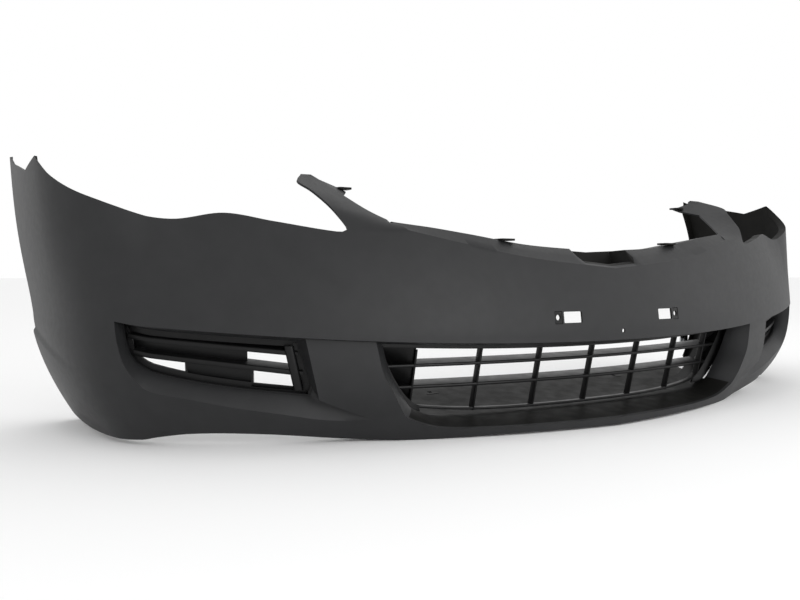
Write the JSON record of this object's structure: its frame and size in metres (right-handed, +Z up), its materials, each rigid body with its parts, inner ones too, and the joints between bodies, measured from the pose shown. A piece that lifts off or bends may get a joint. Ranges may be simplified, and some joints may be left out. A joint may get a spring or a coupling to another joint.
{
  "type": "front bumper cover",
  "caption": "Moulded front bumper cover of a compact saloon car, with a wide lower intake and grille, louvred fog-lamp covers and bracket arms beside the headlights.",
  "frame": {"origin": "floor level under the centre of the cover's footprint", "axes": "+Z up, -Y forward, +X to the right of someone facing the front of the car"},
  "size_m": [1.755, 0.6126, 0.4624],
  "materials": {
    "primed_skin": "matte dark grey primer on polypropylene",
    "black_insert": "moulded black, satin",
    "zinc_steel": "zinc plated"
  },
  "bodies": {
    "root": {"bumper_skin": "primed_skin", "lower_grille": "black_insert", "fog_cover_right": "black_insert", "fog_cover_left": "black_insert", "grille_screw_1": "zinc_steel", "grille_screw_2": "zinc_steel", "grille_screw_3": "zinc_steel", "grille_screw_4": "zinc_steel", "grille_screw_5": "zinc_steel", "grille_screw_6": "zinc_steel", "fog_screw_right_1": "zinc_steel", "fog_screw_right_2": "zinc_steel", "fog_screw_right_3": "zinc_steel", "fog_screw_left_1": "zinc_steel", "fog_screw_left_2": "zinc_steel", "fog_screw_left_3": "zinc_steel", "plate_nut_right": "black_insert", "plate_nut_left": "black_insert", "spring_nut_right_1": "zinc_steel", "spring_nut_right_2": "zinc_steel", "spring_nut_left_1": "zinc_steel", "spring_nut_left_2": "zinc_steel"}
  },
  "joints": []
}
